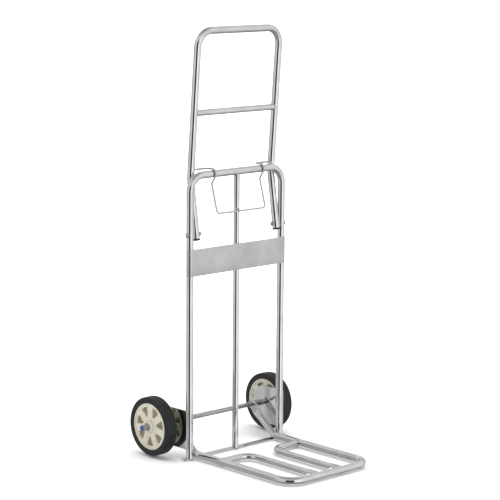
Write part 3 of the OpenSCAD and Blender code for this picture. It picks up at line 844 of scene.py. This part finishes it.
def spoked_disc(name, middle_x, half_thickness, finish):
    """A disc with seven pockets through it and rounded edges, square to the axle at middle_x."""
    outline = bpy.data.curves.new(name, "CURVE")
    outline.dimensions = "2D"
    outline.fill_mode = "BOTH"
    outline.extrude = half_thickness - FACE_BEVEL
    outline.bevel_depth = FACE_BEVEL
    outline.bevel_resolution = 2
    outline.offset = -FACE_BEVEL
    turns = [2 * math.pi * k / RING_STEPS for k in range(RING_STEPS)]
    rings = [[Vector((r * math.cos(a), r * math.sin(a), 0)) for a in turns]
             for r in (RIM_IN + 1.5 * MM, BOSS_R - 1 * MM)]
    rings += [pocket_outline(math.pi + 2 * math.pi * k / SPOKES) for k in range(SPOKES)]
    for ring in rings:
        spline = outline.splines.new("POLY")
        spline.points.add(len(ring) - 1)
        spline.use_cyclic_u = True
        for point, p in zip(spline.points, ring):
            point.co = (*p, 1)
    holder = bpy.data.objects.new(name, outline)
    scene.collection.objects.link(holder)
    bpy.context.view_layer.update()
    mesh = bpy.data.meshes.new_from_object(holder.evaluated_get(bpy.context.evaluated_depsgraph_get()))
    bpy.data.objects.remove(holder)
    shape = bmesh.new()
    shape.from_mesh(mesh)
    for v in shape.verts:
        x, y, z = v.co
        v.co = (middle_x + z, AXLE_Y + y, AXLE_Z + x)
    bmesh.ops.remove_doubles(shape, verts=shape.verts, dist=1e-6)
    bmesh.ops.recalc_face_normals(shape, faces=shape.faces)
    shape.to_mesh(mesh)
    shape.free()
    mesh.materials.clear()
    mesh.materials.append(finish)
    return finished(mesh, name, sharp=28)


for side, word in ((-1, "left"), (1, "right")):
    body = "wheel_" + word

    def out(x, side=side):
        """A place on this wheel's axle, x in from the hub's outer face."""
        return side * (HUB_FACE - x)

    rim = lathe("rim", turned([(out(0), RIM_IN), (out(0), HUB_R - LIP_STEP), (out(LIP_STEP), HUB_R),
                               (out(RIM_BACK), HUB_R), (out(RIM_BACK), RIM_IN)], 0.6 * MM),
                hub_plastic, steps=144)
    floor_front = SPOKE_FACE + POCKET_DEPTH
    floor_back = HUB_WIDTH - 2 * SPOKE_FACE - POCKET_DEPTH
    # The web at the pockets' floors takes the pocket plastic, whose darker olive is painted shade.
    web = lathe("web", turned([(out(floor_front), BUSH_R), (out(floor_front), RIM_IN + 2 * MM),
                               (out(floor_back), RIM_IN + 2 * MM), (out(floor_back), BUSH_R)], 0.5 * MM),
                pocket_plastic, steps=96)
    boss = lathe("boss", turned([(out(-BOSS_OUT), BUSH_R), (out(-BOSS_OUT), BOSS_R), (out(HUB_WIDTH), BOSS_R),
                                 (out(HUB_WIDTH), BUSH_R)], 0.6 * MM), hub_plastic, steps=96)
    half_disc = POCKET_DEPTH / 2 + SINK
    front = spoked_disc("front_spokes", out(SPOKE_FACE + half_disc), half_disc, hub_plastic)
    back = spoked_disc("back_spokes", out(HUB_WIDTH - 2 * SPOKE_FACE - half_disc), half_disc, hub_plastic)
    hub = joined("hub_moulding_" + word, [rim, web, boss, front, back])
    place_on(hub, body, "hub_plastic", "hub_" + word)

    tyre_low, tyre_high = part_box("tyre_" + word)
    middle = (tyre_low.x + tyre_high.x) / 2
    half = (tyre_high.x - tyre_low.x) / 2
    wheel_r = (tyre_high.z - tyre_low.z) / 2
    tread = [(-half, HUB_R - 0.2 * MM), (-half, HUB_R + 3.5 * MM), (-half + 0.5 * MM, HUB_R + 4.2 * MM),
             (-half + 0.5 * MM, wheel_r - SHOULDER - 1 * MM), (-half, wheel_r - SHOULDER),
             (-half + 0.6 * MM, wheel_r - 1.8 * MM), (-half + 2.2 * MM, wheel_r - 0.3 * MM),
             (-half + SHOULDER, wheel_r)]
    for groove in (-half / 3, half / 3):
        tread += [(groove - GROOVE_W, wheel_r), (groove - GROOVE_W * 0.6, wheel_r - GROOVE_D),
                  (groove + GROOVE_W * 0.6, wheel_r - GROOVE_D), (groove + GROOVE_W, wheel_r)]
    tread += [(-x, r) for x, r in tread[7::-1]]
    tyre = lathe("tyre_rubber_" + word, turned([(middle + x, r) for x, r in tread], 0.25 * MM),
                 tyre_rubber, steps=144)
    place_on(tyre, body, "tyre_rubber", "tyre_" + word)

    bush = lathe("axle_bush_" + word, turned([
        (out(-BOSS_OUT - FLANGE_T), BORE_R), (out(-BOSS_OUT - FLANGE_T), FLANGE_R),
        (out(-BOSS_OUT), FLANGE_R), (out(-BOSS_OUT), BUSH_R), (out(HUB_WIDTH), BUSH_R),
        (out(HUB_WIDTH), FLANGE_R), (out(HUB_WIDTH + FLANGE_T), FLANGE_R),
        (out(HUB_WIDTH + FLANGE_T), BORE_R)], 0.3 * MM), bush_plastic, steps=72)
    place_on(bush, body, "bush_plastic", "bush_" + word)

# --- Weld beads -----------------------------------------------------------------------------
# Short runs of weld where tubes, plates and strip meet, ground a little and plated over, so
# they are as bright as the tube but lumpy.
plated_weld, tree, shader = material("plated_weld_bead", "CBCBCC", 0.22, 1.0)
spot = add(tree, "ShaderNodeTexCoord").outputs["Object"]
scale_marks = add(tree, "ShaderNodeTexNoise", {"Vector": spot, "Scale": 1 / (2.5 * MM), "Detail": 4.0})
level = add(tree, "ShaderNodeMapRange", {"Value": scale_marks.outputs["Fac"], "To Min": 0.14, "To Max": 0.4})
tree.links.new(level.outputs[0], shader.inputs["Roughness"])
tint = ramp(tree, scale_marks.outputs["Fac"], [(0.3, linear("D6D6D8")), (0.72, linear("B5B3B0"))])
tree.links.new(tint.outputs["Color"], shader.inputs["Base Color"])

weld_tree, given = new_group("weld_run", "Radius", "Pitch", "Lump", "Sides")
weld_path = add(weld_tree, "GeometryNodeMeshToCurve", {"Mesh": given.outputs["Path"]})
weld_steps = add(weld_tree, "GeometryNodeResampleCurve", {"Curve": weld_path.outputs[0]})
weld_steps.mode = "LENGTH"
quarter = add(weld_tree, "ShaderNodeMath", {0: given.outputs["Pitch"], 1: 0.25}, operation="MULTIPLY")
weld_tree.links.new(quarter.outputs[0], weld_steps.inputs["Length"])
weld_ring = add(weld_tree, "GeometryNodeCurvePrimitiveCircle",
                {"Resolution": given.outputs["Sides"], "Radius": given.outputs["Radius"]})
weld_sweep = add(weld_tree, "GeometryNodeCurveToMesh",
                 {"Curve": weld_steps.outputs[0], "Profile Curve": weld_ring.outputs[0], "Fill Caps": True})
per_pitch = add(weld_tree, "ShaderNodeMath", {0: 1.0, 1: given.outputs["Pitch"]}, operation="DIVIDE")
weld_place = add(weld_tree, "GeometryNodeInputPosition")
weld_noise = add(weld_tree, "ShaderNodeTexNoise",
                 {"Vector": weld_place.outputs[0], "Scale": per_pitch.outputs[0], "Detail": 1.0})
centred = add(weld_tree, "ShaderNodeMath", {0: weld_noise.outputs["Fac"], 1: 0.5}, operation="SUBTRACT")
lump = add(weld_tree, "ShaderNodeMath", {0: centred.outputs[0], 1: given.outputs["Lump"]},
           operation="MULTIPLY")
push = add(weld_tree, "ShaderNodeVectorMath", {0: add(weld_tree, "GeometryNodeInputNormal").outputs[0],
                                               "Scale": lump.outputs[0]}, operation="SCALE")
weld_bumpy = add(weld_tree, "GeometryNodeSetPosition",
                 {"Geometry": weld_sweep.outputs[0], "Offset": push.outputs[0]})
close_group(weld_tree, given, weld_bumpy.outputs[0])

WELD = {"Radius": 1.5 * MM, "Pitch": 2.6 * MM, "Lump": 1.6 * MM, "Sides": 12}


def saddle(centre, along, across_way, branch_r, main_r):
    """The closed line where a branch tube, going along, meets the side of a main tube at centre."""
    along, across_way = Vector(along), Vector(across_way)
    third = along.cross(across_way)
    points = []
    for k in range(36):
        t = 2 * math.pi * k / 36
        side_way = branch_r * math.sin(t)
        depth = math.sqrt(max(main_r ** 2 - side_way ** 2, 0))
        points.append(Vector(centre) + across_way * branch_r * math.cos(t) + third * side_way + along * depth)
    return points


frame_welds = [saddle((x, 0, STRIP_T + 0.3 * MM), (0, 0, 1), (1, 0, 0), r, 0) for x, r in
               ((-LEG_X, TUBE_R), (LEG_X, TUBE_R), (0, THIN_R))]
frame_welds.append(saddle((0, 0, TOP_Z), (0, 0, -1), (1, 0, 0), THIN_R, TUBE_R))
weld_rings = grown(weld_tree, "frame_weld_rings", frame_welds, plated_weld, closed=True, **WELD)
place_on(weld_rings, "frame", "chromed_tube")

BRACKET_WELD = 22 * MM
edge_welds = []
for side in (-1, 1):
    for way in (-1, 1):
        y = way * 3.2 * MM
        x = side * (LEG_X + math.sqrt(TUBE_R ** 2 - y * y) + 0.2 * MM)
        for z in (bracket_low.z + 2 * MM, bracket_high.z - 2 * MM - BRACKET_WELD):
            edge_welds.append([(x, y, z), (x, y, z + BRACKET_WELD)])
weld_runs = grown(weld_tree, "bracket_weld_runs", edge_welds, plated_weld, **WELD)
place_on(weld_runs, "frame", "chromed_tube")

handle_welds = [saddle((side * HANDLE_X, CROSS_Y, CROSS_Z), (-side, 0, 0), (0, 0, 1), THIN_R, TUBE_R)
                for side in (-1, 1)]
rung_welds = grown(weld_tree, "handle_weld_rings", handle_welds, plated_weld, closed=True, **WELD)
place_on(rung_welds, "handle", "chromed_tube")

rail_welds = [saddle((side * TOE_X, RAIL_BACK, RAIL_Z), (-side, 0, 0), (0, 0, 1), RAIL_R, TOE_R * 0.98)
              for side in (-1, 1)]
toe_rings = grown(weld_tree, "toe_weld_rings", rail_welds, plated_weld, closed=True, **WELD)
place_on(toe_rings, "toe_plate", "chromed_tube")
tongue_top = RAIL_Z + TONGUE_RISE
tongue_welds = [[(side * RAIL_X - TONGUE_HALF_W, TOE_Y + TOE_R * 0.86, tongue_top),
                 (side * RAIL_X + TONGUE_HALF_W, TOE_Y + TOE_R * 0.86, tongue_top)] for side in (-1, 1)]
toe_runs = grown(weld_tree, "tongue_weld_runs", tongue_welds, plated_weld, **WELD)
place_on(toe_runs, "toe_plate", "chromed_tube")
